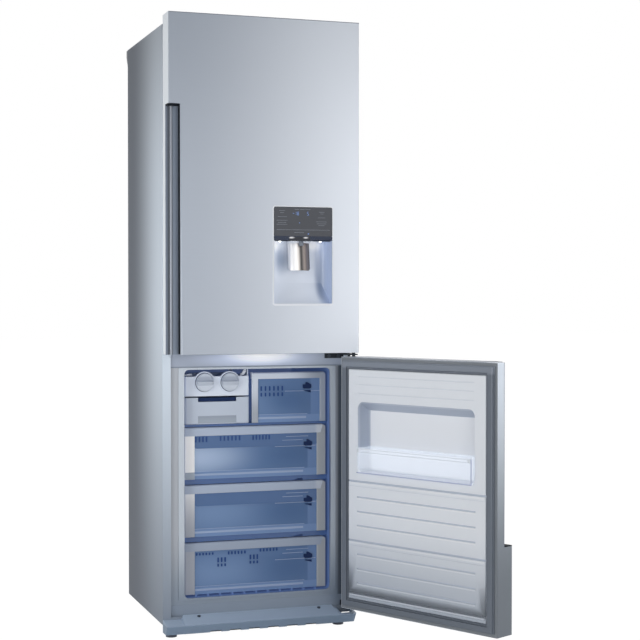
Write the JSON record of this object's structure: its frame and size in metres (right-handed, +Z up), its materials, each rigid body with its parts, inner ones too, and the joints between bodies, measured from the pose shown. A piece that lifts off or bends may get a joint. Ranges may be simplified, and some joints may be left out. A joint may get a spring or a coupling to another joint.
{
  "type": "fridge freezer",
  "caption": "Tall fridge freezer with a water dispenser in its upper door, an ice maker and clear drawers behind its open lower door.",
  "frame": {"origin": "on the floor, under the middle of the cabinet's front face", "axes": "+X to the right as seen from the front, +Y from the front to the back, +Z up"},
  "size_m": [0.8726, 1.1256, 1.865],
  "materials": {
    "steel_silver": "satin silver paint",
    "door_silver": "satin silver paint",
    "liner_white": "smooth white plastic",
    "frame_white": "smooth pale grey plastic",
    "clear_blue": "clear blue-tinted plastic",
    "clear": "clear plastic",
    "shelf_glass": "clear glass",
    "gasket_grey": "matt dark grey rubber",
    "grey_plastic": "matt grey plastic",
    "kick_grey": "matt blue-grey plastic",
    "handle_grey": "matt grey plastic",
    "dark_metal": "dark painted steel",
    "zinc": "zinc-plated steel",
    "black_steel": "black painted steel",
    "black_rubber": "matt black rubber",
    "black_plastic": "matt black plastic",
    "recess_blue": "smooth pale blue plastic",
    "panel_dark": "glossy dark panel",
    "chrome": "polished",
    "fin_aluminium": "plain",
    "lamp_white": "frosted white plastic",
    "fan_white": "matt white plastic"
  },
  "bodies": {
    "cabinet": {"cabinet_shell": "steel_silver", "fridge_liner": "liner_white", "freezer_liner": "liner_white", "mid_strip": "steel_silver", "back_panel": "dark_metal", "top_hinge": "dark_metal", "mid_hinge": "dark_metal", "bottom_hinge": "dark_metal", "hinge_cover": "grey_plastic", "screws": "zinc", "kick_plate": "kick_grey", "base_frame": "zinc", "roller_axles": "zinc", "compressor": "black_steel", "compressor_mounts": "black_rubber", "drain_tray": "black_plastic", "machine_cover": "dark_metal", "cord_gland": "black_plastic", "evaporator": "fin_aluminium", "evaporator_cover": "liner_white", "air_duct": "liner_white", "fridge_lamp": "lamp_white", "glass_shelves": "shelf_glass", "freezer_shelves": "shelf_glass", "ice_housing": "frame_white"},
    "foot_left": {"foot_left": "black_plastic"},
    "foot_right": {"foot_right": "black_plastic"},
    "roller_left": {"roller_left": "black_plastic"},
    "roller_right": {"roller_right": "black_plastic"},
    "evaporator_fan": {"evaporator_fan": "fan_white"},
    "crisper": {"crisper_drawer": "clear"},
    "ice_left": {"ice_tray_left": "frame_white", "ice_knob_left": "frame_white"},
    "ice_right": {"ice_tray_right": "frame_white", "ice_knob_right": "frame_white"},
    "ice_bin": {"ice_bin": "frame_white"},
    "drawer_top": {"drawer_top_tub": "clear_blue", "drawer_top_frame": "frame_white"},
    "drawer_middle": {"drawer_middle_tub": "clear_blue", "drawer_middle_frame": "frame_white"},
    "drawer_bottom": {"drawer_bottom_tub": "clear_blue", "drawer_bottom_frame": "frame_white"},
    "small_drawer": {"small_drawer_tub": "clear_blue", "small_drawer_frame": "frame_white"},
    "upper_door": {"upper_door_shell": "door_silver", "upper_door_liner": "liner_white", "upper_door_gasket": "gasket_grey", "upper_handle": "handle_grey", "dispenser_housing": "recess_blue", "dispenser_panel": "panel_dark", "dispenser_nozzle": "chrome", "water_tank": "clear", "door_balconies": "clear"},
    "paddle": {"dispenser_paddle": "chrome"},
    "lid": {"tank_lid": "frame_white"},
    "lower_door": {"lower_door_shell": "door_silver", "lower_door_liner": "liner_white", "lower_door_gasket": "gasket_grey", "lower_handle": "handle_grey", "lower_door_balcony": "clear"}
  },
  "joints": [
    {"name": "upper_door_hinge", "type": "hinge", "parent": "cabinet", "child": "upper_door", "pos_m": [0.2885, -0.057, 0], "axis": [0, 0, 1], "range_deg": [0, 120]},
    {"name": "lower_door_hinge", "type": "hinge", "parent": "cabinet", "child": "lower_door", "pos_m": [0.2885, -0.057, 0], "axis": [0, 0, 1], "range_deg": [-117, 15]},
    {"name": "drawer_top_slide", "type": "slide", "parent": "cabinet", "child": "drawer_top", "axis": [0, -1, 0], "range_m": [0, 0.32]},
    {"name": "drawer_middle_slide", "type": "slide", "parent": "cabinet", "child": "drawer_middle", "axis": [0, -1, 0], "range_m": [0, 0.32]},
    {"name": "drawer_bottom_slide", "type": "slide", "parent": "cabinet", "child": "drawer_bottom", "axis": [0, -1, 0], "range_m": [0, 0.18]},
    {"name": "small_drawer_slide", "type": "slide", "parent": "cabinet", "child": "small_drawer", "axis": [0, -1, 0], "range_m": [0, 0.3]},
    {"name": "ice_bin_slide", "type": "slide", "parent": "cabinet", "child": "ice_bin", "axis": [0, -1, 0], "range_m": [0, 0.2]},
    {"name": "crisper_slide", "type": "slide", "parent": "cabinet", "child": "crisper", "axis": [0, -1, 0], "range_m": [0, 0.09]},
    {"name": "ice_left_turn", "type": "hinge", "parent": "cabinet", "child": "ice_left", "pos_m": [-0.163, 0, 0.763], "axis": [0, 1, 0], "range_deg": [0, 120], "stiffness_Nm_per_rad": 0.15},
    {"name": "ice_right_turn", "type": "hinge", "parent": "cabinet", "child": "ice_right", "pos_m": [-0.084, 0, 0.763], "axis": [0, 1, 0], "range_deg": [0, 120], "stiffness_Nm_per_rad": 0.15},
    {"name": "paddle_push", "type": "hinge", "parent": "upper_door", "child": "paddle", "pos_m": [0.117, -0.04, 1.207], "axis": [1, 0, 0], "range_deg": [0, 8], "stiffness_Nm_per_rad": 0.5, "springref_deg": -5.73},
    {"name": "tank_lid_hinge", "type": "hinge", "parent": "upper_door", "child": "lid", "pos_m": [0, 0.004, 1.3355], "axis": [1, 0, 0], "range_deg": [0, 95]},
    {"name": "fan_spin", "type": "hinge", "parent": "cabinet", "child": "evaporator_fan", "pos_m": [0, 0, 0.703], "axis": [0, 1, 0], "continuous": true},
    {"name": "roller_left_spin", "type": "hinge", "parent": "cabinet", "child": "roller_left", "pos_m": [-0.24, 0.453, 0.02], "axis": [1, 0, 0], "continuous": true},
    {"name": "roller_right_spin", "type": "hinge", "parent": "cabinet", "child": "roller_right", "pos_m": [0.24, 0.453, 0.02], "axis": [1, 0, 0], "continuous": true},
    {"name": "foot_left_turn", "type": "hinge", "parent": "cabinet", "child": "foot_left", "pos_m": [-0.266, 0.023, 0], "axis": [0, 0, 1], "range_deg": [-180, 180]},
    {"name": "foot_right_turn", "type": "hinge", "parent": "cabinet", "child": "foot_right", "pos_m": [0.266, 0.023, 0], "axis": [0, 0, 1], "range_deg": [-180, 180]}
  ]
}
